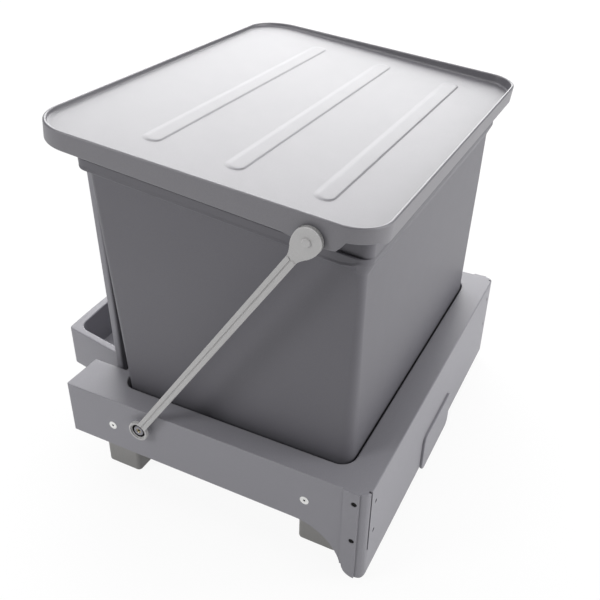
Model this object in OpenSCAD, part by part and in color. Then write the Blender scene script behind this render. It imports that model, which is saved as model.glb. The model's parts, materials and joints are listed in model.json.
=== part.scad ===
// Pull-out waste bin for a base cabinet. A grey moulded carriage holds a lift-out bin and a small rear
// tray, rides on two three-member ball slides, and carries the bin's lid on a pair of swinging arms.
// Millimetres. +Z up, the front faces -Y, the origin is on the cabinet floor under the middle.
// "Back" sizes are measured backwards from the carriage's front face.

/* [Carriage] */
// Width of the carriage across its side walls
carriage_w = 350.6; // [330:0.2:380]
// Length of the side rails, front face to back end
rail_len = 284.5; // [276:0.5:300]
// Height of the carriage's top face above the cabinet floor
frame_top = 100; // [99:1:108]
// Height of the side walls
side_h = 52; // [50:0.5:53]
// Height of the front wall
front_h = 93; // [80:1:96]
// Wall of the side walls
wall = 3; // [2.6:0.1:3.2]
// Wall of the front face
front_t = 3.5; // [3:0.1:5]
// Thickness of the top skin
skin_t = 3; // [2:0.1:3.4]
// Height of the top face of the floor that the bin stands on
floor_z = 50; // [49:0.5:52]
// Thickness of that floor
floor_t = 3; // [2:0.1:3.5]
// Depth of the ribs under the floor
floor_rib_h = 4; // [2:0.5:4.5]
// Radius of the front vertical corners
corner_r = 7; // [6.5:0.5:8]

/* [Bin opening] */
// Width of the top band on each side of the opening
side_band = 21.1; // [20.5:0.1:23]
// Depth of the top band in front of the opening
front_band = 25; // [24:0.5:27]
// Length of the rails behind the cross member
tail_len = 34; // [28:0.5:40]
// Radius of the opening's corners
opening_r = 13; // [8:1:16]
// Gap between the bin and the opening on each side
bin_side_gap = 3.9; // [2:0.1:4.5]
// Gap between the bin and the opening in front
bin_front_gap = 1.5; // [1:0.1:3]
// Gap between the bin and the opening behind
bin_back_gap = 4.6; // [2:0.1:6]
// Clearance between the bin's foot and the walls of its pocket
pocket_gap = 0.8; // [0.6:0.1:1]

/* [Front corners] */
// Depth of the front leg at its toe, front to back
leg_toe = 19; // [17:0.5:22]
// Radius of the concave sweep from the side wall into the leg
leg_sweep_r = 43; // [34:1:44]
// Radius of the toe's back edge
toe_r = 11; // [8:0.5:12]
// Radius of the toe's front edge
toe_front_r = 4; // [3:0.5:6]
// Proud height of the raised pad beside each front corner
pad_t = 1.6; // [1:0.1:1.8]
// Back edge of that pad
pad_back = 20.5; // [18:0.5:24]
// Front edge of that pad
pad_front = 7.6; // [7.2:0.1:9]
// Width of the slit in the front face
slit_w = 1.5; // [1:0.1:1.8]
// Length of the slit, from the top face down
slit_len = 63; // [50:1:70]
// Depth of the slit
slit_depth = 2.8; // [1.5:0.1:3]

/* [Door fixing holes] */
// Diameter of the side holes for a door bracket
side_hole_d = 4.5; // [4:0.1:5]
// Place of the side holes
side_hole_back = 11.5; // [11:0.1:12.5]
// Spacing of the side holes
side_hole_pitch = 40; // [32:1:42]
// Depth of the side holes
side_hole_depth = 10; // [8:0.5:11]
// Drop of the upper side hole below the top face
side_hole_drop = 11.6; // [10:0.1:13]
// Diameter of the holes in the front face
front_hole_d = 3.6; // [3:0.1:4]
// Spacing of the front holes, one above the other
front_hole_pitch = 32; // [28:1:34]
// Distance of the front holes from the carriage's side faces
front_hole_inset = 15.3; // [14.5:0.1:16]
// Drop of the upper front hole below the top face
front_hole_drop = 17.5; // [16:0.5:19]
// Depth of the front holes
front_hole_depth = 10; // [8:0.5:11]

/* [Rear tray] */
// Length of the tray behind the rails
tray_len = 55.5; // [50:0.5:64]
// Height of the tray's walls
tray_h = 41; // [36:1:46]
// Distance of the tray's root from the carriage's side faces
tray_inset = 50.3; // [49:0.1:54]
// Taper of the tray's sides, per millimetre of length
tray_taper_share = 0.19; // [0.1:0.01:0.25]
// Width of the tray's side rims
tray_rim = 7.5; // [6:0.5:12]
// Width of the tray's back rim
tray_back_rim = 8; // [6:0.5:14]
// Bow of the tray's back edge
tray_bow = 5; // [2:0.5:8]
// Radius of the tray's inner corners
tray_r = 13; // [8:1:16]
// Thickness of the tray's floor
tray_floor_t = 3; // [2:0.5:4]
// Width of the rails' back ends
tail_w = 39.8; // [30:0.2:40]
// Width of the cross member behind the opening
cross_w = 9; // [8.5:0.5:14]

/* [Rear panel] */
// Reach of the upright panel beyond the tray's root on each side
panel_over = 3; // [2:0.1:5]
// Backward lean of the panel, in degrees
panel_lean = 1.05; // [0:0.05:2.2]
// Thickness of the panel
panel_t = 4.5; // [3.5:0.1:5]
// Distance from the cross member to the panel's front face
panel_room = 14.5; // [12:0.5:18]
// Depth of the slot that holds the panel in the tray's side walls
panel_slot = 26; // [18:1:30]
// Clearance of the panel in its slot, on each face
panel_gap = 0.2; // [0.1:0.05:0.4]
// Radius of the panel's upper corners
panel_r = 12; // [4:1:20]

/* [Badge] */
// Width of the bare raised plate on the front
badge_w = 78; // [60:1:90]
// Height of that plate
badge_h = 41; // [30:1:42]
// Proud height of that plate
badge_t = 2.5; // [1.5:0.1:5]
// Radius of its corners
badge_r = 8; // [3:0.5:12]

/* [Bin] */
// Height of the bin's front wall
bin_h = 254.8; // [236:0.2:256]
// Wall of the bin
bin_wall = 2.5; // [2:0.1:3.5]
// Draft of the bin's sides
bin_side_draft = 0.8; // [0.4:0.05:1.2]
// Forward lean of the bin's front wall
bin_front_lean = 0.7; // [0.4:0.05:1.2]
// Backward lean of the bin's back wall
bin_back_lean = 3.2; // [2:0.05:3.4]
// Radius of the bin's front vertical corners
bin_front_r = 11; // [8:1:14]
// Radius of the bin's back vertical corners
bin_back_r = 6; // [4:1:10]
// Height of the band round the bin's rim
rim_h = 9; // [6:0.5:11]
// Distance from the bin's upper edge down to the band, at the front
rim_drop = 21.5; // [20:0.1:26]
// Reach of the band beyond the bin's walls
rim_out = 4.5; // [3:0.1:6]

/* [Lid] */
// Reach of the lid beyond the carriage's side faces
lid_over = 2.7; // [2:0.1:5]
// Gap between the top of the rear panel and the lid's back skirt
skirt_gap = 2.1; // [1.5:0.1:8]
// Place of the lid's front edge
lid_back = 8.5; // [6:0.5:9]
// Slope of the lid, lower at the front
lid_slope = 6.5; // [5.8:0.1:7]
// Thickness of the lid's panel
lid_t = 2.5; // [2:0.1:3.5]
// Wall of the lid's skirt and rim
lid_wall = 2.5; // [2:0.1:3]
// Radius of the lid's front corners in plan
lid_r = 26; // [18:1:30]
// Radius of the lid's back corners in plan
lid_back_r = 32; // [20:1:40]
// Height of the raised rim above the panel at the front
rim_front_h = 8.5; // [6:0.5:10]
// Height of the raised rim above the panel at the back
rim_back_h = 3; // [2:0.5:5]
// Depth of the side and back skirts below the panel's top face
skirt_h = 11.3; // [10:0.1:12]
// Extra depth of the skirt at the arm's pin
skirt_lug = 2.7; // [1.5:0.1:3]
// Half length of that deeper stretch
skirt_lug_half = 14; // [11:0.5:18]
// Length of the cut-back front corner of the side skirt
skirt_notch = 20; // [16:0.5:24]
// Depth of the skirt left at that corner
skirt_front_h = 3.2; // [2.6:0.1:5]
// Distance from the lid's side edges to the ends of the crowned ribs
rib_inset = 38; // [30:1:70]
// Width of the ribs
rib_w = 8; // [5:0.5:12]
// Height of the ribs
rib_h = 1.3; // [0.8:0.1:2]
// Spacing of the ribs
rib_pitch = 68; // [50:1:75]
// Distance from the lid's front edge to the first rib
rib_first = 54; // [50:1:70]

/* [Lid arms] */
// Distance of the arm's upper pin behind the lid's front edge, along the lid
pin_along = 43.5; // [40:0.5:50]
// Drop of that pin below the panel's top face
pin_drop = 9; // [8:0.1:9.6]
// Diameter of the pin
pin_d = 6; // [4:0.1:7]
// Length of the pin that stands out of the arm
pin_proud = 1.5; // [1:0.1:3]
// Distance of the arm's lower pivot from the rails' back end
pivot_inset = 79; // [72:0.5:88]
// Drop of the lower pivot below the carriage's top face
pivot_drop = 17.5; // [15:0.5:20]
// Thickness of the arm
arm_t = 4; // [3.4:0.1:5]
// Width of the arm's bar
arm_w = 7.6; // [6:0.1:9]
// Outer diameter of the lower eye
eye_d = 18; // [17:0.5:21]
// Diameter of the recess for the pivot screw's head
eye_recess_d = 13.4; // [12.6:0.1:14]
// Diameter of the journal that the eye turns on
journal_d = 9; // [7.5:0.1:9.4]
// Diameter of the upper paddle
paddle_d = 20; // [17:0.5:22]
// Length of the neck between paddle and bar
neck_len = 19; // [14:0.5:24]
// Width of the shallow groove along the bar
arm_groove_w = 2; // [1:0.1:2.4]
// Depth of that groove
arm_groove_depth = 0.6; // [0.3:0.1:0.9]
// Running clearance round the pin and the journal
running_gap = 0.08; // [0.04:0.01:0.1]
// Side clearance between the arm and the lid
arm_gap = 0.7; // [0.5:0.1:1]

/* [Slides] */
// Distance of the slide members' ends from the rails' back end
slide_end_inset = 18; // [14:0.5:24]
// Height of the fixed rail
slide_h = 45; // [43:0.5:46]
// Thickness of the nested slide
slide_t = 12.7; // [12.4:0.1:13.2]
// Sheet thickness of the slide members
sheet_t = 1.2; // [1:0.1:1.3]
// Diameter of the slide balls
ball_d = 3.4; // [3.2:0.1:3.6]
// Clearance between a ball and each race
ball_gap = 0.15; // [0.1:0.05:0.2]
// Number of balls in each row
ball_count = 8; // [4:1:10]
// Length of the ball cages
cage_len = 100; // [80:1:110]
// Drop of the slides' middle below the carriage's top face
slide_drop = 29.1; // [28:0.1:29.5]
// Distance from the front face to the slides' front ends
slide_back = 16.5; // [16.5:0.5:18]

/* [Base bars] */
// Distance from the carriage's side faces to the ends of the bars across the cabinet floor
bar_inset = 20.3; // [19.5:0.1:22]
// Height of the bars
bar_h = 36; // [32:0.5:37]
// Depth of each bar, front to back
bar_depth = 36; // [32:0.5:40]
// Place of the front bar's front face
front_bar_back = 32; // [30:0.5:36]
// Distance of the rear bar's front face from the rails' back end
rear_bar_inset = 52.5; // [50:0.5:58]
// Wall of the bars
bar_wall = 3; // [2.4:0.1:4]
// Radius of the bars' lower end corners
bar_r = 5; // [3:0.5:7]
// Number of ribs inside each bar
bar_ribs = 5; // [3:2:7]
// Distance from the bars' ends to the floor screws
floor_hole_inset = 35; // [33:0.5:45]
// Diameter of the floor screw holes
floor_hole_d = 5.5; // [4:0.1:6]
// Diameter of the recess over each floor screw hole
floor_recess_d = 12; // [10:0.5:12.5]
// Thickness of plastic under the floor screw's head
floor_seat_t = 6; // [4:0.5:10]

/* [Steel brackets and screws] */
// Sheet thickness of the rail brackets
bracket_t = 2.4; // [2:0.1:2.6]
// Width of the rail brackets along the rails
bracket_w = 24; // [20:1:28]
// Reach of the brackets over the bars
bracket_foot = 27; // [22:1:32]
// Diameter of the side screws' heads
screw_head_d = 7.7; // [7:0.1:9]
// Shank diameter of the small screws
screw_d = 4; // [3.5:0.1:4.2]
// Clearance round a screw's shank
screw_gap = 0.1; // [0.05:0.05:0.2]
// Place of the front side screw
front_screw_back = 53; // [50:0.5:58]
// Distance of the rear side screw from the rails' back end
rear_screw_inset = 46.5; // [42:0.5:52]
// Diameter of the pivot screw's head
pivot_head_d = 12.4; // [11:0.1:12.5]

/* [Hidden] */

// One overrun for every cut
over = 1;
// Facets of round things, and of the drafted shells
$fn = 48;
shell_fn = 32;
bow_steps = 12;
// Colours as the photograph shows them
body_grey = [0.50, 0.50, 0.52];
bin_grey = [0.40, 0.40, 0.42];
lid_grey = [0.62, 0.62, 0.64];
arm_grey = [0.66, 0.65, 0.63];
foot_grey = [0.58, 0.57, 0.55];
steel = [0.74, 0.75, 0.77];
zinc = [0.86, 0.86, 0.86];

// Places derived from the carriage
tail_r = 2;
tray_edge_r = 5;
tray_back = rail_len + tray_len;
overall_len = tray_back + tray_bow;
front_y = (badge_t - overall_len) / 2;
half_w = carriage_w / 2;
inner_half = half_w - wall;
side_bottom = frame_top - side_h;
front_bottom = frame_top - front_h;
skin_z = frame_top - skin_t;
opening_half = half_w - side_band;
cross_back = rail_len - tail_len;
opening_back = cross_back - cross_w;
opening_len = opening_back - front_band;
panel_back = cross_back + panel_room;
pivot_back = rail_len - pivot_inset;
rear_screw_back = rail_len - rear_screw_inset;
rear_bar_back = rail_len - rear_bar_inset;
tail_inner = half_w - tail_w;
badge_drop = 2.5;
tray_root = half_w - tray_inset;
tray_bottom = frame_top - tray_h;
tray_angle = atan(tray_taper_share);
panel_half = tray_root + panel_over;
lid_w = carriage_w + 2 * lid_over;
rib_len = lid_w - 2 * rib_inset;
bar_len = carriage_w - 2 * bar_inset;
floor_hole_span = bar_len - 2 * floor_hole_inset;
floor_under = floor_z - floor_t;
floor_rib_pitch = opening_half / 3;
front_rib_pitch = half_w / 3;
bar_rib_pitch = bar_len / 8;
post_back = side_hole_back + side_hole_d / 2 + pad_t;
slit_x = half_w - corner_r + slit_w;
front_hole_span = carriage_w - 2 * front_hole_inset;

// Slide stack, counted inwards from the side wall's inner face
slide_z = frame_top - slide_drop;
slide_fixed_x = inner_half - slide_t;
slide_half = slide_h / 2;
race_step = ball_d + 2 * ball_gap;
fixed_in = slide_half - sheet_t;
middle_out = fixed_in - race_step;
middle_in = middle_out - sheet_t;
moving_out = middle_in - race_step;
moving_in = moving_out - sheet_t;
cage_t = 0.4;
cage_gap = 0.2;
strip_t = 0.8;
lip = 1.4;
outer_cage_u = sheet_t + cage_gap;
middle_u = outer_cage_u + cage_t + cage_gap;
inner_cage_u = middle_u + sheet_t + cage_gap;
moving_u = inner_cage_u + cage_t + 2 * cage_gap;
lip_u = slide_t - sheet_t - cage_gap;
middle_lip_u = lip_u - cage_gap - sheet_t;
ball_u = slide_t / 2;
inner_ball_u = ball_u + sheet_t / 2;
slide_len = rail_len - slide_end_inset - slide_back;
cage_middle = slide_len / 2;

// Base brackets stand behind the fixed rails, inside the carriage's inner wall
bracket_x = slide_fixed_x;
bracket_in_x = bracket_x - bracket_t;
bracket_clear = 0.4;
channel_in_x = bracket_in_x - bracket_clear;
bracket_top = slide_z + middle_in;
front_bar_mid = front_bar_back + bar_depth / 2;
rear_bar_mid = rear_bar_back + bar_depth / 2;
floor_hole_pitch = rear_bar_mid - front_bar_mid;
foot_screw_x = bracket_in_x - bracket_foot / 2;
screw_head_h = 2;
rivet_head_h = bracket_clear / 2;
foot_screw_len = 12;
rivet_d = screw_d;

// Bin shell
bin_foot_z = floor_z;
bin_foot_r = 6;
function bin_half(z) = opening_half - bin_side_gap + (z - frame_top) * tan(bin_side_draft);
function bin_front(z) = front_band + bin_front_gap - (z - frame_top) * tan(bin_front_lean);
function bin_back(z) = opening_back - bin_back_gap + (z - frame_top) * tan(bin_back_lean);
bin_tall = bin_h + rail_len * tan(lid_slope);
rim_z = bin_foot_z + bin_h - rim_drop;

// Lid frame: its origin is the panel's top face at the middle of the front edge
lid_seat = 0.4;
skirt_run = 10;
lid_z = bin_foot_z + bin_h + lid_seat + lid_t / cos(lid_slope)
    - (bin_front(bin_foot_z + bin_h) - lid_back) * tan(lid_slope);
lid_half = lid_w / 2;
lid_in = lid_half - lid_wall;
panel_seat = 0.5;
panel_top_gap = 3;
panel_len = lid_z + (panel_back - lid_back) * tan(lid_slope) - lid_t / cos(lid_slope) - panel_top_gap
    - frame_top + panel_slot;
panel_top_back = panel_back + panel_t + panel_len * sin(panel_lean);
lid_len = (panel_top_back + skirt_gap - lid_back) / cos(lid_slope) + lid_wall;
pin_back = lid_back + pin_along * cos(lid_slope) + pin_drop * sin(lid_slope);
pin_z = lid_z + pin_along * sin(lid_slope) - pin_drop * cos(lid_slope);
pin_flange_d = 9;
pin_flange_t = 2.1;
pin_seat = 0.04;

// Arms
arm_in_x = lid_half + arm_gap;
arm_out_x = arm_in_x + arm_t;
pivot_z = frame_top - pivot_drop;
arm_dy = pivot_back - pin_back;
arm_dz = pin_z - pivot_z;
arm_len = norm([arm_dy, arm_dz]);
arm_lean = atan2(arm_dy, arm_dz);
neck_turn = 65;
collar_gap = 0.2;
eye_floor_t = arm_t / 2;
pivot_head_h = arm_t - eye_floor_t - 2 * collar_gap;
pivot_seat_x = arm_in_x + eye_floor_t + collar_gap;
pivot_hole_depth = pivot_seat_x - inner_half - wall / 2;
collar_d = eye_d - 2;

// Moves its children from "back" distances to the part's own Y
module from_front() {
    translate([0, front_y, 0]) children();
}

// Draws a part on the left, and its mirror image on the right
module both_sides() {
    children();
    mirror([1, 0, 0]) children();
}

// A plan outline, symmetric about X = 0, with its own front and back corner radii
module plan(half, y0, y1, rf, rb) {
    translate([-half, y0 + rf]) square([2 * half, y1 - rb - y0 - rf]);
    translate([-half + rf, y0]) square([2 * (half - rf), rf + over]);
    translate([-half + rb, y1 - rb - over]) square([2 * (half - rb), rb + over]);
    for (s = [-1, 1]) {
        translate([s * (half - rf), y0 + rf]) circle(r = rf);
        translate([s * (half - rb), y1 - rb]) circle(r = rb);
    }
}

// Extrudes a profile drawn in X and Z along Y, from y0 to y1
module along_y(y0, y1) {
    translate([0, y1, 0]) rotate([90, 0, 0]) linear_extrude(y1 - y0) children();
}

// Extrudes a profile drawn in Y and Z along X, from x0 to x1
module along_x(x0, x1) {
    translate([x0, 0, 0]) rotate([90, 0, 90]) linear_extrude(x1 - x0) children();
}

// A round bar along X between x0 and x1, through y and z
module bar_x(x0, x1, y, z, d) {
    translate([x0, y, z]) rotate([0, 90, 0]) cylinder(h = x1 - x0, d = d);
}

// A round bar along Y between y0 and y1
module bar_y(x, y0, y1, z, d) {
    translate([x, y0, z]) rotate([-90, 0, 0]) cylinder(h = y1 - y0, d = d);
}

// Side view of the carriage: rail, front leg with its swept back edge, rounded toe
module side_view(grow = 0) {
    difference() {
        union() {
            translate([0, side_bottom - grow]) square([rail_len, side_h + grow]);
            translate([0, front_bottom + toe_r])
                square([leg_toe + leg_sweep_r, frame_top - front_bottom - toe_r]);
            translate([0, front_bottom + toe_front_r]) square([leg_toe - toe_r, toe_r]);
            translate([toe_front_r, front_bottom]) square([leg_toe - toe_r - toe_front_r, toe_r]);
            translate([leg_toe - toe_r, front_bottom + toe_r]) circle(r = toe_r);
            translate([toe_front_r, front_bottom + toe_front_r]) circle(r = toe_front_r);
        }
        translate([leg_toe + leg_sweep_r, side_bottom - leg_sweep_r]) circle(r = leg_sweep_r);
        translate([leg_toe, front_bottom - over])
            square([leg_sweep_r + over, side_bottom - leg_sweep_r - front_bottom + over]);
    }
}

// A tapered outline, h0 wide at y0, that ends behind y1 in a bowed edge with rounded corners
module tapered(h0, y0, y1, r) {
    xc = h0 - tray_taper_share * (y1 - r - y0) - r / cos(tray_angle);
    xt = xc + r * cos(tray_angle);
    yt = y1 - r + r * sin(tray_angle);
    bow = [for (i = [0:bow_steps])
        let (share = 1 - 2 * i / bow_steps) [xc * share, y1 + tray_bow * (1 - pow(share, 2))]];
    polygon(concat([[-xt, yt], [-h0, y0], [h0, y0], [xt, yt]], bow));
    for (x = [-xc, xc]) {
        translate([x, y1 - r]) circle(r = r);
    }
}

// Tray outline, drawn in by an inset at the sides and another at the back
module tray_plan(inset, back_inset, r) {
    tapered(tray_root - inset, cross_back - over, tray_back - back_inset, r);
}

// The drafted pocket that the bin drops into, widening to the opening in the top face
module bin_pocket(z0, z1) {
    hull() {
        translate([0, 0, z0]) linear_extrude(over)
            plan(bin_half(z0) + pocket_gap, bin_front(z0) - pocket_gap, bin_back(z0) + pocket_gap,
                bin_front_r, bin_back_r, $fn = shell_fn);
        translate([0, 0, z1]) linear_extrude(over)
            plan(opening_half, front_band, opening_back, opening_r, opening_r, $fn = shell_fn);
    }
}

module carriage_frame() {
    color(body_grey) from_front() difference() {
        union() {
            intersection() {
                along_x(-half_w, half_w) side_view();
                translate([0, 0, front_bottom]) linear_extrude(front_h)
                    plan(half_w, 0, rail_len, corner_r, tail_r);
            }
            translate([0, 0, tray_bottom]) linear_extrude(tray_h) tray_plan(0, 0, tray_edge_r);
            both_sides() {
                side_pad();
                pivot_boss();
            }
            floor_ribs();
            translate([-channel_in_x, front_band - wall, floor_under])
                cube([2 * channel_in_x, opening_back + wall - front_band + wall, side_bottom - floor_under + over]);
        }
        front_hollow();
        both_sides() {
            slide_channel();
            tail_hollow();
            front_slit();
            screw_holes();
        }
        bin_pocket(floor_z, frame_top);
        tail_notch();
        intersection() {
            translate([0, 0, tray_bottom + tray_floor_t]) linear_extrude(tray_h)
                tray_plan(tray_rim, tray_back_rim, tray_r);
            translate([-half_w, cross_back + wall, tray_bottom]) cube([carriage_w, tray_len + rail_len, tray_h + over]);
        }
        cross_hollow();
        panel_slots();
    }
}

// The raised pad with the door bracket holes
module side_pad() {
    intersection() {
        along_x(-half_w - pad_t, -half_w + over) side_view();
        translate([-half_w - pad_t, pad_front, front_bottom]) cube([pad_t + over, pad_back - pad_front, front_h]);
    }
}

// Collar and journal on the side wall for the arm's eye
module pivot_boss() {
    bar_x(-arm_in_x + collar_gap, -inner_half, pivot_back, pivot_z, collar_d);
    bar_x(-pivot_seat_x, -inner_half, pivot_back, pivot_z, journal_d);
}

// Shallow ribs under the floor, running front to back
module floor_ribs() {
    for (i = [-2:2]) {
        translate([i * floor_rib_pitch - wall / 2, front_band, floor_under - floor_rib_h])
            cube([wall, opening_len, floor_rib_h + over]);
    }
}

// Space behind the front wall, with upright ribs left standing
module front_hollow() {
    back = bin_front(floor_z) - pocket_gap - wall;
    difference() {
        translate([-channel_in_x, front_t, front_bottom - over])
            cube([2 * channel_in_x, front_band - wall - front_t, skin_z - front_bottom + over]);
        for (i = [-2:2]) {
            translate([i * front_rib_pitch - wall / 2, 0, front_bottom])
                cube([wall, front_band, front_h]);
        }
    }
    translate([-inner_half, front_t, front_bottom - over])
        cube([2 * inner_half, leg_toe + leg_sweep_r, floor_under - floor_rib_h - front_bottom + over]);
    translate([-channel_in_x, front_t, front_bottom]) {
        cube([2 * channel_in_x, back - front_t - wall, floor_under - front_bottom]);
    }
}

// Channel inside each rail for the slide, open below and at the back
module slide_channel() {
    translate([-inner_half, post_back, front_bottom])
        cube([inner_half - channel_in_x, rail_len + over, skin_z - front_bottom]);
}

// Hollow inside the wider back end of the rail
module tail_hollow() {
    translate([-channel_in_x - over, cross_back + wall, side_bottom - over])
        cube([channel_in_x + over - tail_inner - wall, rail_len - cross_back, side_h + over - skin_t]);
}

// Open notch between the tray and the rails
module tail_notch() {
    translate([0, 0, side_bottom - over]) linear_extrude(side_h + 2 * over) difference() {
        translate([-tail_inner, cross_back]) square([2 * tail_inner, tray_len + rail_len]);
        tray_plan(0, 0, tray_edge_r);
    }
    translate([-tail_inner, cross_back, side_bottom - over])
        cube([2 * tail_inner, tray_len + rail_len, tray_bottom - side_bottom + over]);
}

// Hollow inside the cross member
module cross_hollow() {
    translate([-tail_inner, opening_back + wall, side_bottom - over])
        cube([2 * tail_inner, cross_w - 2 * wall, side_h + over - skin_t]);
}

// Slots in the tray's side walls for the rear panel
module panel_slots() {
    in_panel_frame() translate([-panel_half - panel_gap, -panel_gap, 0])
        cube([2 * (panel_half + panel_gap), panel_t + 2 * panel_gap, panel_slot + over]);
}

// Places its children in the panel's leaning frame, at the bottom of its slots
module in_panel_frame() {
    translate([0, panel_back, frame_top - panel_slot]) rotate([-panel_lean, 0, 0]) children();
}

// Slit beside the corner post, open at the top
module front_slit() {
    translate([-slit_x - slit_w / 2, -over, frame_top - slit_len])
        cube([slit_w, slit_depth + over, slit_len + over]);
}

// Bores in the carriage: door bracket, front panel, slide screws, pivot screw
module screw_holes() {
    for (z = [frame_top - side_hole_drop, frame_top - side_hole_drop - side_hole_pitch]) {
        bar_x(-half_w - pad_t - over, -half_w - pad_t + side_hole_depth, side_hole_back, z, side_hole_d);
    }
    for (z = [frame_top - front_hole_drop, frame_top - front_hole_drop - front_hole_pitch]) {
        bar_y(-front_hole_span / 2, -over, front_hole_depth, z, front_hole_d);
    }
    for (y = [front_screw_back, rear_screw_back]) {
        bar_x(-half_w - over, -inner_half + over, y, slide_z, screw_d + 2 * screw_gap);
        translate([-half_w, y, slide_z]) rotate([0, 90, 0])
            cylinder(h = screw_head_h, d1 = screw_head_d + 2 * screw_gap, d2 = screw_d + 2 * screw_gap);
        bar_x(-half_w - over, -half_w, y, slide_z, screw_head_d + 2 * screw_gap);
    }
    bar_x(-pivot_seat_x - over, -pivot_seat_x + pivot_hole_depth, pivot_back, pivot_z, screw_d + 2 * screw_gap);
}

module front_badge() {
    color(body_grey) from_front() along_y(-badge_t, 0)
        translate([-badge_w / 2, front_bottom - badge_drop]) rounded_plate(badge_w, badge_h, badge_r);
}

// A plate outline from the origin, with all four corners rounded
module rounded_plate(w, h, r) {
    translate([r, 0]) square([w - 2 * r, h]);
    translate([0, r]) square([w, h - 2 * r]);
    for (x = [r, w - r], y = [r, h - r]) {
        translate([x, y]) circle(r = r);
    }
}

// Upright panel: wide above its slots and narrower inside the tray, with rounded upper corners
module rear_panel() {
    root = tray_root - tray_rim - tray_taper_share * (panel_back + 2 * panel_t - cross_back);
    tongue = root - wall;
    drop = frame_top - panel_slot - tray_bottom - tray_floor_t - panel_seat;
    straight = panel_len - panel_r;
    color(body_grey) from_front() in_panel_frame() translate([0, panel_t, 0]) rotate([90, 0, 0])
        linear_extrude(panel_t) {
            translate([-tongue, -drop]) square([2 * tongue, drop + over]);
            translate([-panel_half, 0]) square([2 * panel_half, straight]);
            translate([-panel_half + panel_r, straight - over]) square([2 * (panel_half - panel_r), panel_r + over]);
            for (s = [-1, 1]) {
                translate([s * (panel_half - panel_r), straight]) circle(r = panel_r);
            }
        }
}

// Places its children in the lid's sloping frame
module in_lid_frame() {
    translate([0, front_y + lid_back, lid_z]) rotate([lid_slope, 0, 0]) children();
}

// The bin's drafted body, grown or shrunk by an inset, from z0 up to z1
module bin_body(inset, z0, z1) {
    hull() {
        translate([0, 0, z0]) linear_extrude(over)
            plan(bin_half(z0) - inset - bin_foot_r / 2, bin_front(z0) + inset + bin_foot_r / 2,
                bin_back(z0) - inset - bin_foot_r / 2, bin_front_r - inset, bin_back_r - inset, $fn = shell_fn);
        for (z = [z0 + bin_foot_r, z1]) {
            translate([0, 0, z]) linear_extrude(over)
                plan(bin_half(z) - inset, bin_front(z) + inset, bin_back(z) - inset,
                    bin_front_r - inset, bin_back_r - inset, $fn = shell_fn);
        }
    }
}

module waste_bin() {
    color(bin_grey) difference() {
        union() {
            intersection() {
                from_front() bin_body(0, bin_foot_z, bin_foot_z + bin_tall);
                under_lid(lid_seat, lid_w);
            }
            intersection() {
                from_front() translate([0, 0, bin_foot_z + bin_h / 2]) linear_extrude(bin_h)
                    plan(bin_half(rim_z) + rim_out, bin_front(rim_z) - rim_out, bin_back(rim_z) + rim_out,
                        bin_front_r + rim_out, bin_back_r + rim_out);
                under_lid(lid_seat + rim_drop, rim_h);
            }
        }
        from_front() bin_body(bin_wall, bin_foot_z + bin_wall, bin_foot_z + bin_tall + over);
    }
}

// A sloping layer of the given height, starting the given drop below the lid's panel
module under_lid(drop, h) {
    in_lid_frame() translate([-lid_w, -lid_len / 2, -lid_t - drop - h]) cube([2 * lid_w, 2 * lid_len, h]);
}

module left_lid_arm() {
    color(arm_grey) lid_arm();
}

module right_lid_arm() {
    color(arm_grey) mirror([1, 0, 0]) lid_arm();
}

// Outline of the arm, drawn with the eye at the origin and the paddle up the second axis
module arm_outline() {
    paddle_r = paddle_d / 2;
    circle(d = eye_d);
    translate([-arm_w / 2, 0]) square([arm_w, arm_len]);
    translate([0, arm_len]) circle(d = paddle_d);
    polygon([[-arm_w / 2, arm_len - paddle_r - neck_len], [arm_w / 2, arm_len - paddle_r - neck_len],
        [paddle_r * sin(neck_turn), arm_len - paddle_r * cos(neck_turn)],
        [-paddle_r * sin(neck_turn), arm_len - paddle_r * cos(neck_turn)]]);
}

module lid_arm() {
    from_front() translate([-arm_out_x, pivot_back, pivot_z]) rotate([arm_lean, 0, 0]) difference() {
        along_x(0, arm_t) arm_outline();
        bar_x(-over, arm_t - eye_floor_t, 0, 0, eye_recess_d);
        bar_x(-over, arm_t + over, 0, 0, journal_d + 2 * running_gap);
        bar_x(-over, arm_t + over, 0, arm_len, pin_d + 2 * running_gap);
        translate([-over, -arm_groove_w / 2, eye_d])
            cube([over + arm_groove_depth, arm_groove_w, arm_len - eye_d - paddle_d - neck_len / 2]);
    }
}

module lid() {
    color(lid_grey) in_lid_frame() difference() {
        union() {
            difference() {
                translate([0, 0, -skirt_h - skirt_lug]) linear_extrude(skirt_h + skirt_lug + rim_front_h)
                    plan(lid_half, 0, lid_len, lid_r, lid_back_r);
                linear_extrude(skirt_h + rim_front_h)
                    plan(lid_in, lid_wall, lid_len - lid_wall, lid_r - lid_wall, lid_back_r - lid_wall);
                translate([0, 0, -skirt_h - skirt_lug - over]) linear_extrude(skirt_h + skirt_lug + over - lid_t)
                    plan(lid_in, lid_wall, lid_len - lid_wall, lid_r - lid_wall, lid_back_r - lid_wall);
                lid_cuts();
            }
            lid_ribs();
        }
        both_sides() bar_x(-lid_half - over, -lid_in + over, pin_along, -pin_drop, pin_d + pin_seat);
    }
}

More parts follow.
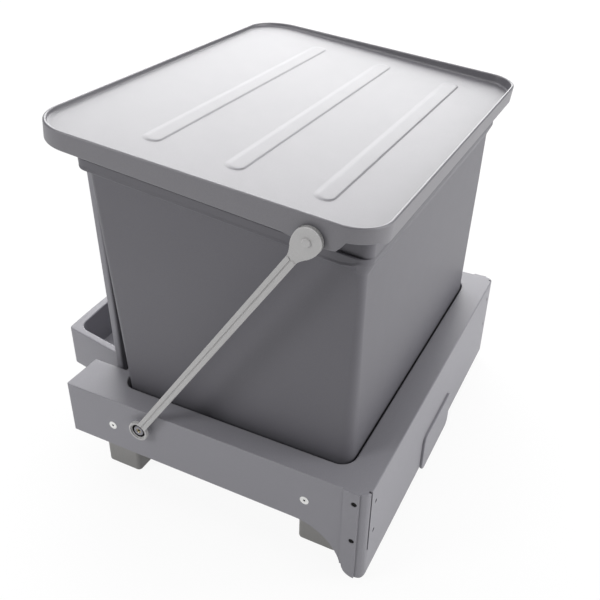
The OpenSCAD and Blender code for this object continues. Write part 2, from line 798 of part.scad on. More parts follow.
// Cuts that give the rim its fall and the skirt its lower edge
module lid_cuts() {
    fall = atan2(rim_front_h - rim_back_h, lid_len);
    big = lid_half + over;
    translate([-big, 0, rim_front_h]) rotate([-fall, 0, 0]) translate([0, -lid_len / 2, 0])
        cube([2 * big, 2 * lid_len, rim_front_h + skirt_h]);
    deep = -skirt_h - skirt_lug;
    lug_end = pin_along + skirt_lug_half;
    along_x(-big, big) {
        polygon([[-over, deep - over], [skirt_notch + skirt_run, deep - over], [skirt_notch + skirt_run, deep],
            [skirt_notch, -skirt_front_h], [-over, -skirt_front_h]]);
        polygon([[lug_end - skirt_run, deep - over], [lid_len + over, deep - over], [lid_len + over, -skirt_h],
            [lug_end, -skirt_h], [lug_end - skirt_run, deep]]);
    }
}

// Crowned ribs: the tops of lying round bars with round ends
module lid_ribs() {
    crown_r = (pow(rib_w / 2, 2) + pow(rib_h, 2)) / (2 * rib_h);
    intersection() {
        for (i = [0:2]) {
            translate([0, rib_first + i * rib_pitch, rib_h - crown_r]) {
                bar_x(-rib_len / 2 + rib_w / 2, rib_len / 2 - rib_w / 2, 0, 0, 2 * crown_r);
                for (s = [-1, 1]) {
                    translate([s * (rib_len - rib_w) / 2, 0, 0]) sphere(r = crown_r);
                }
            }
        }
        translate([-lid_half, 0, -lid_t / 2]) cube([lid_w, lid_len, lid_t + rib_h]);
    }
}

module lid_pins() {
    color(arm_grey) from_front() both_sides() {
        bar_x(-arm_out_x - pin_proud, -lid_in + over / 2, pin_back, pin_z, pin_d);
        bar_x(-lid_in, -lid_in + pin_flange_t, pin_back, pin_z, pin_flange_d);
    }
}

// Channel profile of the slide members: u runs from the fixed rail's back to the carriage wall
module on_slide(y0, y1) {
    from_front() translate([-slide_fixed_x, 0, slide_z]) mirror([1, 0, 0]) along_y(y0, y1) children();
}

// A rectangle between u0 and u1, centred on the slide's middle height
module band(u0, u1, half) {
    translate([u0, -half]) square([u1 - u0, 2 * half]);
}

module fixed_profile() {
    difference() {
        band(0, slide_t - 2 * cage_gap, slide_half);
        band(sheet_t, lip_u, fixed_in);
        band(lip_u - over, slide_t + over, fixed_in - lip);
    }
}

module middle_profile() {
    difference() {
        band(middle_u, middle_lip_u + sheet_t, middle_out);
        band(middle_u + sheet_t, slide_t, middle_in);
    }
}

module moving_profile() {
    difference() {
        band(moving_u, slide_t, moving_out);
        band(0, slide_t - sheet_t, moving_in);
    }
}

module fixed_rail() {
    color(steel) difference() {
        on_slide(slide_back, slide_back + slide_len) fixed_profile();
        rivet_places() bar_x(-slide_t, over, 0, 0, rivet_d + 2 * screw_gap);
    }
}

module middle_rail() {
    color(steel) on_slide(slide_back, slide_back + slide_len) middle_profile();
}

module moving_rail() {
    color(steel) difference() {
        on_slide(slide_back, slide_back + slide_len) moving_profile();
        from_front() for (y = [front_screw_back, rear_screw_back]) {
            bar_x(-inner_half - over, -inner_half + 2 * sheet_t, y, slide_z, screw_d + 2 * screw_gap);
        }
    }
}

// A cage: thin web, two strips, and a row of balls held in each strip
module ball_cage(u, row, strip_end, centre_u) {
    y0 = slide_back + cage_middle - cage_len / 2;
    reach = row - ball_d / 4;
    on_slide(y0, y0 + cage_len) {
        translate([u, -reach]) square([cage_t, 2 * reach]);
        for (s = [0, 1]) mirror([0, s]) {
            translate([u, reach - strip_t / 2]) square([strip_end - u, strip_t]);
        }
    }
    pitch = cage_len / ball_count;
    from_front() for (i = [0:ball_count - 1], s = [-1, 1]) {
        translate([-slide_fixed_x - centre_u, y0 + (i + 1 / 2) * pitch, slide_z + s * row]) sphere(d = ball_d);
    }
}

module outer_cage() {
    color(zinc) ball_cage(outer_cage_u, (fixed_in + middle_out) / 2, lip_u - cage_gap, ball_u);
}

module inner_cage() {
    color(zinc) ball_cage(inner_cage_u, (middle_in + moving_out) / 2, middle_lip_u, inner_ball_u);
}

// Where the rivets pass through the fixed rail and the bracket's upright leaf
module rivet_places() {
    from_front() for (y = [front_bar_mid, rear_bar_mid], s = [-1, 1]) {
        translate([-slide_fixed_x, y + s * bracket_w / 4, slide_z]) children();
    }
}

// Where the screws pass through the bracket's foot into the bar
module foot_screw_places() {
    from_front() for (y = [front_bar_mid, rear_bar_mid]) {
        translate([-foot_screw_x, y, bar_h]) children();
    }
}

module rail_brackets() {
    color(steel) difference() {
        from_front() for (y = [front_bar_mid, rear_bar_mid]) {
            translate([-bracket_x, y - bracket_w / 2, bar_h]) {
                cube([bracket_t, bracket_w, bracket_top - bar_h]);
                cube([bracket_foot, bracket_w, bracket_t]);
            }
        }
        rivet_places() bar_x(-over, bracket_t + over, 0, 0, rivet_d + 2 * screw_gap);
        foot_screw_places() translate([0, 0, -over]) cylinder(h = bracket_t + 2 * over, d = screw_d + 2 * screw_gap);
    }
}

module rail_rivets() {
    color(zinc) both_sides() rivet_places() {
        bar_x(-sheet_t - cage_gap / 4, bracket_t, 0, 0, rivet_d);
        bar_x(bracket_t, bracket_t + rivet_head_h, 0, 0, rivet_d + 2);
    }
}

module bracket_screws() {
    color(zinc) both_sides() foot_screw_places() {
        translate([0, 0, bracket_t - foot_screw_len]) cylinder(h = foot_screw_len, d = screw_d);
        translate([0, 0, bracket_t]) cylinder(h = screw_head_h, d = screw_head_d);
    }
}

module slide_screws() {
    color(zinc) from_front() both_sides() for (y = [front_screw_back, rear_screw_back]) {
        translate([-half_w, y, slide_z]) rotate([0, 90, 0]) {
            difference() {
                cylinder(h = screw_head_h, d1 = screw_head_d, d2 = screw_d);
                translate([0, 0, -over]) cylinder(h = over + screw_head_h / 2, d = screw_d / 2);
            }
            translate([0, 0, screw_head_h]) cylinder(h = wall + 2 * sheet_t - screw_head_h, d = screw_d);
        }
    }
}

module arm_pivot_screws() {
    color(zinc) from_front() both_sides() {
        difference() {
            bar_x(-pivot_seat_x - pivot_head_h, -pivot_seat_x, pivot_back, pivot_z, pivot_head_d);
            bar_x(-pivot_seat_x - pivot_head_h - over, -pivot_seat_x - pivot_head_h / 4, pivot_back, pivot_z, screw_d);
        }
        bar_x(-pivot_seat_x, -pivot_seat_x + pivot_hole_depth - screw_gap, pivot_back, pivot_z, screw_d);
    }
}

// A moulded bar across the cabinet floor, open below, with ribs and screw posts inside
module base_bar(back) {
    half = bar_len / 2;
    hole_x = floor_hole_span / 2;
    post_d = floor_recess_d + 2 * bar_wall;
    mid = back + bar_depth / 2;
    color(foot_grey) from_front() difference() {
        union() {
            difference() {
                along_y(back, back + bar_depth) {
                    translate([-half, bar_r]) square([bar_len, bar_h - bar_r]);
                    translate([-half + bar_r, 0]) square([bar_len - 2 * bar_r, bar_r + over]);
                    for (s = [-1, 1]) translate([s * (half - bar_r), bar_r]) circle(r = bar_r);
                }
                translate([-half + bar_wall + bar_r, back + bar_wall, -over])
                    cube([bar_len - 2 * bar_wall - 2 * bar_r, bar_depth - 2 * bar_wall, bar_h - bar_wall + over]);
            }
            for (i = [0:bar_ribs - 1]) {
                translate([(i - (bar_ribs - 1) / 2) * bar_rib_pitch - bar_wall / 2, back, 0])
                    cube([bar_wall, bar_depth, bar_h]);
            }
            for (s = [-1, 1]) {
                translate([s * hole_x, mid, 0]) cylinder(h = bar_h, d = post_d);
            }
        }
        for (s = [-1, 1]) {
            translate([s * hole_x, mid, -over]) cylinder(h = bar_h + 2 * over, d = floor_hole_d);
            translate([s * hole_x, mid, floor_seat_t]) cylinder(h = bar_h, d = floor_recess_d);
            translate([s * foot_screw_x, mid, bar_h + bracket_t - foot_screw_len - screw_gap])
                cylinder(h = foot_screw_len, d = screw_d + 2 * screw_gap);
        }
    }
}

carriage_frame();
front_badge();
rear_panel();
waste_bin();
moving_rail();  // left_moving_rail
mirror([1, 0, 0]) moving_rail();  // right_moving_rail
slide_screws();
arm_pivot_screws();
lid();
lid_pins();
left_lid_arm();
right_lid_arm();
inner_cage();  // left_inner_cage
mirror([1, 0, 0]) inner_cage();  // right_inner_cage
middle_rail();  // left_middle_rail
mirror([1, 0, 0]) middle_rail();  // right_middle_rail
outer_cage();  // left_outer_cage
mirror([1, 0, 0]) outer_cage();  // right_outer_cage
fixed_rail();  // left_fixed_rail
mirror([1, 0, 0]) fixed_rail();  // right_fixed_rail
rail_brackets();  // left_rail_brackets
mirror([1, 0, 0]) rail_brackets();  // right_rail_brackets
bracket_screws();
rail_rivets();
base_bar(front_bar_back);  // front_base_bar
base_bar(rear_bar_back);  // rear_base_bar
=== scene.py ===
import json
import math

import bmesh
import bpy
from mathutils import Matrix, Vector


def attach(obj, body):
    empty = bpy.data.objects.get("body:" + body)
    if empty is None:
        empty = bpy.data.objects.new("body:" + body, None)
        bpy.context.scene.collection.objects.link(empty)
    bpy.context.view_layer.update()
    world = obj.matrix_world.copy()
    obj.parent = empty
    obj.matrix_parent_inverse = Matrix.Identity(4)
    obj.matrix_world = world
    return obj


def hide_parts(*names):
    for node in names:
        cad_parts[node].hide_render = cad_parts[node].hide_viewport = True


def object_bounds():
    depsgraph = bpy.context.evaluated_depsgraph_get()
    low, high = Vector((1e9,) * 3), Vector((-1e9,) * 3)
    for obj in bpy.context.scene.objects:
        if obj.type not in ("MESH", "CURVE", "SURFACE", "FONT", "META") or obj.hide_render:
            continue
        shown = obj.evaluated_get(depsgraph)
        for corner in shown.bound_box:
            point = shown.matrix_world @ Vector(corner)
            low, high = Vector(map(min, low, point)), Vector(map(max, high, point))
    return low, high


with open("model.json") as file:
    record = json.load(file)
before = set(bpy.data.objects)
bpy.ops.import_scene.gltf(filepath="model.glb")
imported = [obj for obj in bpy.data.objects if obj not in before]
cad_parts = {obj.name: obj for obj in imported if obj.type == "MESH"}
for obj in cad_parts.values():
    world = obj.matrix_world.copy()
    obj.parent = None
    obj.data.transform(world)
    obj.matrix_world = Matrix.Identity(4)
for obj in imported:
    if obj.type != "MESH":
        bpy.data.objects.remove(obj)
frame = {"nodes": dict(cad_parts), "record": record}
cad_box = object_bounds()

MM = 0.001

# Sizes in millimetres. "Back" is measured backwards from the carriage's front face.
PLATE_OUT = 2.5
FRONT_Y = cad_box[0][1] / MM + PLATE_OUT

# Lid: "along" runs backwards from its front edge, "up" is measured from the panel's top face.
LID_HALF, LID_LEN = 178.0, 272.0
LID_FRONT_R, LID_BACK_R = 26.0, 34.5
LID_T, LID_WALL = 2.5, 2.5
LID_SLOPE = math.radians(6.5)
RIM_FRONT_H, RIM_BACK_H = 8.5, 3.0
RIM_FOOT_R, SKIRT_OUT_R, SKIRT_IN_R, UNDERSIDE_R = 2.0, 1.1, 0.7, 0.6
RIM_INSET = 3.0
SKIRT_H, FRONT_SKIRT_H = 11.3, 7.0
FRONT_SKIRT_END, FRONT_SKIRT_BLEND = 0.5, 3.0
NOTCH_H, NOTCH_END, NOTCH_BLEND = 3.6, 19.8, 6.0
LUG_H, LUG_HALF = 13.2, 20.0
PIN_ALONG, PIN_DROP = 43.5, 9.0
RIB_FIRST, RIB_PITCH, RIB_COUNT = 54.0, 68.0, 3
RIB_HALF_LEN, RIB_HALF_W, RIB_SHEAR = 144.0, 8.2, 0.45
RIB_SECTION = [
    (0.0, -0.3), (0.0, 0.01), (0.6, 0.06), (1.5, 0.26), (2.4, 0.47), (3.2, 0.58), (4.2, 0.63), (8.0, 0.64),
]

# Bin: drops are measured down from the lid's top face, square to it. At the back the band stands out
# BACK_SHARE times as far as at the sides.
BIN_FOOT_Z, BIN_FOOT_R, BIN_WALL = 50.0, 6.0, 2.5
BIN_HALF, BIN_SIDE_DRAFT = 150.3, math.radians(0.8)
BIN_FRONT, BIN_FRONT_LEAN = 26.5, math.radians(0.7)
BIN_BACK, BIN_BACK_LEAN = 236.9, math.radians(3.2)
BIN_FRONT_R, BIN_FRONT_R_LOSS, BIN_BACK_R = 11.0, 5.0, 6.0
BIN_LEVELS = (100.0, 160.0, 220.0)
DATUM_Z, BIN_RISE = 100.0, 130.0
BAND_LOW, BAND_HIGH, BAND_OUT, BAND_R = 33.4, 24.4, 4.2, 0.7
BACK_SHARE = 2.0
BAND_FRONT_STEP, LIP_FRONT_STEP = 0.4, 1.0
BEAD_OUT, BEAD_R = 0.8, 1.3
FLARE_DOWN, FLARE_UP, FLARE_END, FLARE_BLEND = 6.0, 4.0, 1.0, 7.0
GROOVE_OUT, GROOVE_H = 2.3, 5.0
LIP_GAP, LIP_R, LIP_H = 0.4, 0.8, 4.0

# Carriage
FRAME_HALF, FRAME_TOP = 175.3, 100.0
RAIL_LEN, RAIL_INNER_HALF = 284.5, 171.0
RAIL_ROOF_Z = 51.0
TOE_Z, TOE_BACK = 12.0, 25.0
SLIT_X, SLIT_W, SLIT_LEN, SLIT_DEPTH = 169.8, 1.5, 63.0, 2.8
# Depths of the black block and plugs that paint shade into the slits and holes
SLIT_SHADE_BACK, PLUG_DEPTH = 0.8, 0.8
PAD_T = 1.6
SCREW_FRONT, SCREW_BACK, SCREW_Z, DRIVE_R = 53.0, 238.0, 70.9, 1.25
SIDE_HOLES, SIDE_HOLE_BACK, SIDE_HOLE_R = (88.4, 48.4), 11.5, 2.22
FRONT_HOLES, FRONT_HOLE_X, FRONT_HOLE_R = (82.5, 50.5), 160.0, 1.78

# Edge radii of the softened pieces. Edges shorter than HOLE_SIDE are facets of holes, and edges of the
# side walls shorter than RECESS_SIDE belong to recesses.
LARGEST_R, TOP_R, WALL_R, SHORT_WALL_R = 2.0, 1.4, 1.1, 0.7
PAD_R, INNER_R, SLIT_R, HOLE_R = 0.4, 0.3, 0.25, 0.15
HOLE_SIDE, RECESS_SIDE = 0.62, 12.0
PLATE_R, PEG_R, PEG_ROOT_R = 1.2, 0.9, 0.2

# Rear panel: "up" from the tray's top, "out" towards the bin
PANEL_HALF, PANEL_T, PANEL_R, PANEL_BORDER_R = 128.0, 7.0, 10.0, 2.4
PANEL_BACK, PANEL_LEAN, PANEL_TALL, PANEL_SUNK = 267.6, math.radians(1.3), 229.0, 14.0

# Floor bars
BASE_CORNER_R, BASE_FOOT_R, BASE_TOP_R, BASE_WALL = 4.0, 2.0, 1.0, 3.0


def joint_place(name):
    """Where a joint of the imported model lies, in millimetres."""
    for joint in frame["record"]["behaviour"]["joints"]:
        if joint["name"] == name:
            return Vector(joint["pos_m"]) / MM


PIN = joint_place("lid_tilt")
PIVOT = joint_place("arms_swing")
LID_TURN = Matrix.Rotation(LID_SLOPE, 3, "X")
LID_ORIGIN = PIN - LID_TURN @ Vector((0.0, PIN_ALONG, -PIN_DROP))


def in_lid(x, along, up):
    """A point given in the lid's own sloping frame, in the object's frame."""
    return LID_ORIGIN + LID_TURN @ Vector((x, along, up))


def under_lid(y, drop):
    """Height of a plane parallel to the lid, the given drop below the lid's top face."""
    foot = LID_ORIGIN.z - drop / math.cos(LID_SLOPE)
    return foot + (y - LID_ORIGIN.y) * math.tan(LID_SLOPE)


# Mesh building


def new_piece(name, bm, body, replaced, smooth_angle=35.0):
    """Turns a bmesh in millimetres into a shaded object that rides on a body and replaces CAD nodes."""
    bmesh.ops.recalc_face_normals(bm, faces=bm.faces)
    bmesh.ops.scale(bm, vec=(MM, MM, MM), verts=bm.verts)
    mesh = bpy.data.meshes.new(name)
    bm.to_mesh(mesh)
    bm.free()
    piece = bpy.data.objects.new(name, mesh)
    bpy.context.collection.objects.link(piece)
    mesh.shade_smooth()
    mesh.set_sharp_from_angle(angle=math.radians(smooth_angle))
    even = piece.modifiers.new("even_normals", "WEIGHTED_NORMAL")
    even.keep_sharp = True
    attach(piece, body)
    if replaced:
        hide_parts(*replaced)
    return piece


def outline(half, y0, y1, front_r, back_r, turns=10, side_steps=1):
    """Points round a rounded rectangle that is symmetric about X = 0, anticlockwise from above."""
    points = []
    corners = [
        (half - front_r, y0 + front_r, front_r, -90.0), (half - back_r, y1 - back_r, back_r, 0.0),
        (back_r - half, y1 - back_r, back_r, 90.0), (front_r - half, y0 + front_r, front_r, 180.0),
    ]
    for place, (cx, cy, r, start) in enumerate(corners):
        for step in range(turns + 1):
            angle = math.radians(start + 90.0 * step / turns)
            points.append((cx + r * math.cos(angle), cy + r * math.sin(angle)))
        if side_steps > 1 and place in (0, 2):
            along = corners[(place + 1) % 4]
            ax, ay = points[-1]
            by = along[1]
            for step in range(1, side_steps):
                points.append((ax, ay + (by - ay) * step / side_steps))
    return points


def loft(bm, rings):
    """Extrudes a face from ring to ring of equal point counts, as a closed skin."""
    row = [bm.verts.new(point) for point in rings[0]]
    bm.faces.new(row)
    for ring in rings[1:]:
        edges = [bm.edges.get((row[i - 1], row[i])) for i in range(len(row))]
        made = set(bmesh.ops.extrude_edge_only(bm, edges=edges)["geom"])
        row = [next(edge.other_vert(vert) for edge in vert.link_edges if edge.other_vert(vert) in made)
               for vert in row]
        for vert, point in zip(row, ring):
            vert.co = point
    bm.faces.new(row)


def arc(centre_in, centre_up, r, start, stop, steps):
    """Points of an arc about a centre, as pairs: in a wall's section, inset from the outside and height."""
    out = []
    for step in range(steps + 1):
        angle = math.radians(start + (stop - start) * step / steps)
        out.append((centre_in + r * math.cos(angle), centre_up + r * math.sin(angle)))
    return out


def ease(t):
    """A smooth step from 0 to 1."""
    t = max(0.0, min(1.0, t))
    return t * t * (3.0 - 2.0 * t)


def safe_radii(chosen, wanted):
    """Cuts each wished edge radius to the room that its neighbours leave, and evens it out along each run."""
    room, joined = {}, {edge: [] for edge in chosen}
    for edge in chosen:
        limit = wanted[edge]
        for vert in edge.verts:
            away = edge.other_vert(vert).co - vert.co
            for other in vert.link_edges:
                along = other.other_vert(vert).co - vert.co
                if other is edge or along.length < 1e-6:
                    continue
                turn = along.angle(away)
                if turn < math.radians(140.0):
                    limit = min(limit, 0.42 * along.length * max(math.sin(turn), 0.25))
                elif other in wanted:
                    joined[edge].append(other)
        room[edge] = limit
    seen = set()
    for edge in chosen:
        if edge in seen:
            continue
        run, waiting = [], [edge]
        while waiting:
            current = waiting.pop()
            if current not in seen:
                seen.add(current)
                run.append(current)
                waiting += joined[current]
        least = min(room[member] for member in run)
        for member in run:
            room[member] = least
    return room


def softened(name, node, body, radius_of, sharp=28.0, segments=3):
    """A copy of a CAD node whose hard edges get the radius of radius_of(x, back, z, edge), in millimetres."""
    bm = bmesh.new()
    bm.from_mesh(frame["nodes"][node].data)
    bmesh.ops.scale(bm, vec=(1 / MM, 1 / MM, 1 / MM), verts=bm.verts)
    bmesh.ops.remove_doubles(bm, verts=bm.verts, dist=0.02)
    bmesh.ops.dissolve_limit(bm, angle_limit=math.radians(0.5), use_dissolve_boundaries=False,
                             verts=bm.verts, edges=bm.edges)
    weight = bm.edges.layers.float.new("bevel_weight_edge")
    wanted = {}
    for edge in bm.edges:
        if len(edge.link_faces) == 2 and edge.calc_face_angle(0.0) > math.radians(sharp):
            middle = (edge.verts[0].co + edge.verts[1].co) / 2
            radius = radius_of(abs(middle.x), middle.y - FRONT_Y, middle.z, edge)
            if radius > 0.0:
                wanted[edge] = radius
    for edge, radius in safe_radii(list(wanted), wanted).items():
        edge[weight] = radius / LARGEST_R if radius > 0.06 else 0.0
    piece = new_piece(name, bm, body, [node])
    weights = piece.data.attributes["bevel_weight_edge"].data
    for edge in piece.data.edges:
        if weights[edge.index].value > 0:
            edge.use_edge_sharp = False
    soft = piece.modifiers.new("soft_edges", "BEVEL")
    soft.limit_method = "WEIGHT"
    soft.width = LARGEST_R * MM
    soft.segments = segments
    soft.use_clamp_overlap = False
    soft.affect = "EDGES"
    piece.modifiers.move(len(piece.modifiers) - 1, 0)
    return piece


# Lid


def lid_skirt(along):
    """Depth of the skirt below the panel's top face: cut back at the front corners, deeper round the pin."""
    bump = max(0.0, 1.0 - ((along - PIN_ALONG) / LUG_HALF) ** 2)
    side = SKIRT_H + (LUG_H - SKIRT_H) * bump
    front_share = 1.0 - ease((along - FRONT_SKIRT_END) / FRONT_SKIRT_BLEND)
    front = NOTCH_H + (FRONT_SKIRT_H - NOTCH_H) * front_share
    return front + (side - front) * ease((along - NOTCH_END) / NOTCH_BLEND)


def lid_rim(along):
    """Height of the raised rim above the panel."""
    return RIM_FRONT_H + (RIM_BACK_H - RIM_FRONT_H) * along / LID_LEN


def lid_section():
    """Section of the lid's edge as (inset, kind, offset): heights over the rim, the panel or the skirt."""
    bead = LID_WALL / 2
    foot = arc(LID_WALL + RIM_FOOT_R, RIM_FOOT_R, RIM_FOOT_R, 270.0, 180.0, 4)
    rim = arc(bead, -bead, bead, 0.0, 180.0, 8)
    skirt = arc(SKIRT_OUT_R, SKIRT_OUT_R, SKIRT_OUT_R, 180.0, 270.0, 4)
    skirt += arc(LID_WALL - SKIRT_IN_R, SKIRT_IN_R, SKIRT_IN_R, 270.0, 360.0, 3)
    under = arc(LID_WALL + UNDERSIDE_R, -LID_T - UNDERSIDE_R, UNDERSIDE_R, 180.0, 90.0, 2)
    rows = [(LID_WALL + RIM_INSET, "panel", 0.0)]
    for kind, points in (("panel", foot), ("rim", rim), ("skirt", skirt), ("panel", under)):
        rows += [(inset, kind, up) for inset, up in points]
    return rows


def build_lid():
    """The lid as one closed skin, with the ribs set into its panel."""
    bm = bmesh.new()
    rings = []
    for inset, kind, offset in lid_section():
        ring = []
        for x, along in outline(LID_HALF - inset, inset, LID_LEN - inset, LID_FRONT_R - inset,
                                LID_BACK_R - inset, turns=14, side_steps=56):
            base = {"panel": 0.0, "rim": lid_rim(along), "skirt": -lid_skirt(along)}[kind]
            ring.append(in_lid(x, along, base + offset))
        rings.append(ring)
    loft(bm, rings)
    for step in range(RIB_COUNT):
        lid_rib(bm, RIB_FIRST + RIB_PITCH * step)
    return new_piece("lid_shell", bm, "lid", ["lid"])


def lid_rib(bm, along):
    """A low rib across the panel, with round ends, a soft foot, and a gentler flank behind than in front."""
    straight = RIB_HALF_LEN - RIB_HALF_W
    rings = []
    for inset, up in RIB_SECTION:
        ring = []
        for side, start in ((1.0, -90.0), (-1.0, 90.0)):
            middle = along - RIB_SHEAR * inset
            end = arc(side * straight, middle, RIB_HALF_W - inset, start, start + 180.0, 12)
            ring += [in_lid(x, y, up) for x, y in end]
        rings.append(ring)
    loft(bm, rings)


# Bin


def bin_ring(out, z_of, front_out=None):
    """A ring of the bin: its drafted outline grown by out, in front by front_out, at the heights of z_of."""
    front_out = min(out, BAND_OUT) if front_out is None else front_out
    back_out = min(out, BAND_OUT) * (BACK_SHARE if out > 0.0 else 1.0)
    rise_front = z_of(FRONT_Y + BIN_FRONT) - DATUM_Z
    rise_back = z_of(FRONT_Y + BIN_BACK) - DATUM_Z
    half = BIN_HALF + (rise_front + rise_back) / 2 * math.tan(BIN_SIDE_DRAFT) + out
    y0 = FRONT_Y + BIN_FRONT - rise_front * math.tan(BIN_FRONT_LEAN) - front_out
    y1 = FRONT_Y + BIN_BACK + rise_back * math.tan(BIN_BACK_LEAN) + back_out
    front_r = BIN_FRONT_R - BIN_FRONT_R_LOSS * ease(rise_front / BIN_RISE)
    points = outline(half, y0, y1, front_r + out, max(BIN_BACK_R + out, 1.0), turns=10, side_steps=24)
    return [Vector((x, y, z_of(y))) for x, y in points]


def level(z):
    """A level plane."""
    return lambda y: z


def sloped(drop, lift=0.0):
    """A plane parallel to the lid; along the bin's front face and its corners it is lifted by lift."""
    def height(y):
        back = y - FRONT_Y - BIN_FRONT
        return under_lid(y, drop) + lift * (1.0 - ease((back - FLARE_END) / FLARE_BLEND))
    return height


def band_underside():
    """The underside of the rim band as (out, drop): it leaves the wall and ends in a small bead."""
    bead = arc(BEAD_R, BEAD_R, BEAD_R, 270.0, 180.0, 5)
    fade = ((0.8, 0.6), (0.3, 1.3), (0.0, 1.9))
    rows = [(0.0, BAND_LOW + 1.5), (0.2, BAND_LOW + 0.3), (0.7, BAND_LOW)]
    rows += [(BAND_OUT + BEAD_OUT - inset, BAND_LOW - up) for inset, up in bead]
    rows += [(BAND_OUT + BEAD_OUT * share, BAND_LOW - BEAD_R - up) for share, up in fade]
    return rows


def band_top():
    """The band's upper edge, the groove behind it and the lip under the lid, as (out, drop)."""
    lip = LID_T + LIP_GAP
    groove = BAND_HIGH + GROOVE_H
    edge = arc(BAND_R, -BAND_R, BAND_R, 180.0, 90.0, 3)
    lip_edge = arc(LIP_R, -LIP_R, LIP_R, 180.0, 90.0, 3)
    lip_edge += arc(BIN_WALL - LIP_R, -LIP_R, LIP_R, 90.0, 0.0, 3)
    rows = [(BAND_OUT - inset, BAND_HIGH - up) for inset, up in edge]
    rows += [(2.6, BAND_HIGH), (2.4, BAND_HIGH + 0.3), (GROOVE_OUT, groove), (1.2, groove)]
    rows += [(1.1, BAND_HIGH - 0.5), (0.6, lip + LIP_H)]
    rows += [(-inset, lip - up) for inset, up in lip_edge]
    return rows


def build_bin():
    """The bin as one closed skin: foot, outer wall, rim band, lip, inner wall, floor."""
    rings = []
    for inset, up in arc(BIN_FOOT_R, BIN_FOOT_R, BIN_FOOT_R, 270.0, 180.0, 5):
        rings.append(bin_ring(-inset, level(BIN_FOOT_Z + up)))
    for z in BIN_LEVELS:
        rings.append(bin_ring(0.0, level(z)))
    for out, drop in band_underside():
        share = min(out / BAND_OUT, 1.0)
        rings.append(bin_ring(out, sloped(drop, FLARE_UP * share - FLARE_DOWN * (1.0 - share))))
    for out, drop in band_top():
        front_out = BAND_OUT - BAND_FRONT_STEP if out > 0.5 else BAND_OUT - LIP_FRONT_STEP + out
        rings.append(bin_ring(out, sloped(drop), front_out))
    for z in (BIN_LEVELS[-1], BIN_LEVELS[0]):
        rings.append(bin_ring(-BIN_WALL, level(z)))
    for inset, up in arc(BIN_FOOT_R, BIN_FOOT_R, BIN_FOOT_R, 180.0, 270.0, 4):
        rings.append(bin_ring(-BIN_WALL - inset, level(BIN_FOOT_Z + BIN_WALL + up)))
    bm = bmesh.new()
    loft(bm, rings)
    return new_piece("bin_shell", bm, "carriage", ["waste_bin"])


# Carriage


def frame_radius(x, back, z, edge):
    """Edge radii of the carriage: soft on top, small at holes and slits, none on the round toes or below."""
    first, last = (vert.co for vert in edge.verts)
    lengthways = abs(first.y - last.y) > abs(first.x - last.x)
    on_toe = z < TOE_Z and back < TOE_BACK
    in_rail = z < RAIL_ROOF_Z and x < RAIL_INNER_HALF and back > 3.0
    if on_toe or in_rail:
        return 0.0
    if back < SLIT_DEPTH + 0.4 and abs(x - SLIT_X) < 1.0 and (lengthways or z < FRAME_TOP - 0.1):
        return SLIT_R
    if x > FRAME_HALF + 0.1:
        return PAD_R
    if z > FRAME_TOP - 0.1:
        return TOP_R
    if edge.calc_length() < HOLE_SIDE:
        return HOLE_R
    if x > FRAME_HALF - 0.5 or back < 1.0 or back > RAIL_LEN - 0.5:
        return WALL_R if edge.calc_length() > RECESS_SIDE else SHORT_WALL_R
    return INNER_R


def plate_radius(x, back, z, edge):
    """Only the edges round the plate's front face are soft."""
    return PLATE_R if back < 0.5 - PLATE_OUT else 0.0


def build_carriage():
    """The carriage frame and its front plate are softened copies; the rear panel is built."""
    softened("frame_shell", "carriage_frame", "carriage", frame_radius)
    softened("badge_plate", "front_badge", "carriage", plate_radius)
    build_panel()


def in_panel(x, up, out):
    """A point of the rear panel: up its leaning rear face from the tray's top, out in front of that face."""
    y = FRONT_Y + PANEL_BACK + up * math.sin(PANEL_LEAN) - out * math.cos(PANEL_LEAN)
    z = FRAME_TOP + up * math.cos(PANEL_LEAN) + out * math.sin(PANEL_LEAN)
    return Vector((x, y, z))


def panel_section():
    """Section of the panel's border as (inset, out): rear edge, rolled border, and the step to the sheet."""
    roll = arc(PANEL_BORDER_R, 0.0, PANEL_BORDER_R, 180.0, 90.0, 5)
    rows = [(1.0, 0.0), (0.3, 0.3), (0.0, 1.0)]
    rows += [(inset, PANEL_T - PANEL_BORDER_R + up) for inset, up in roll]
    rows += [(6.0, PANEL_T), (6.8, PANEL_T - 0.5), (7.2, PANEL_T - 2.6), (7.6, PANEL_T - 3.0)]
    return rows


def build_panel():
    """The upright panel behind the bin: a sheet with a thick rolled border."""
    rings = []
    for inset, out in panel_section():
        half, low, high = PANEL_HALF - inset, inset - PANEL_SUNK, PANEL_TALL - inset
        r = max(PANEL_R - inset, 1.0)
        ring = [in_panel(-half, low, out), in_panel(half, low, out)]
        for side, start in ((1.0, 0.0), (-1.0, 90.0)):
            corner = arc(side * (half - r), high - r, r, start, start + 90.0, 8)
            ring += [in_panel(x, up, out) for x, up in corner]
        rings.append(ring)
    bm = bmesh.new()
    loft(bm, rings)
    new_piece("panel_sheet", bm, "carriage", ["rear_panel"])


# Arms and pivots


def node_span(node):
    """Least and greatest |X| of a CAD node, in millimetres."""
    reach = [abs(vert.co.x) / MM for vert in frame["nodes"][node].data.vertices]
    return min(reach), max(reach)


ARM_IN, ARM_OUT = node_span("left_lid_arm")
ARM_T = ARM_OUT - ARM_IN
ARM_LEN = (PIN - PIVOT).length
ARM_UP = (PIN - PIVOT).normalized()
ARM_ACROSS = Vector((0.0, -ARM_UP.z, ARM_UP.y))
BAR_HALF, HOLLOW_HALF, BAR_CUT = 4.0, 0.45, 1.2
PADDLE_R, PADDLE_SHARE, NECK, NECK_CURVE = 10.0, 1.07, 19.5, 1.25
WEB_EDGE_R, PADDLE_EDGE_R, BAR_EDGE_R = 0.5, 0.7, 0.45
WEB_SUNK, BAR_SUNK = 0.8, 0.15
EYE_R, CUP_R, WELL_R = 9.0, 7.2, 6.4
SCREW_R, SCREW_OUT = 2.9, ARM_T - 2.3


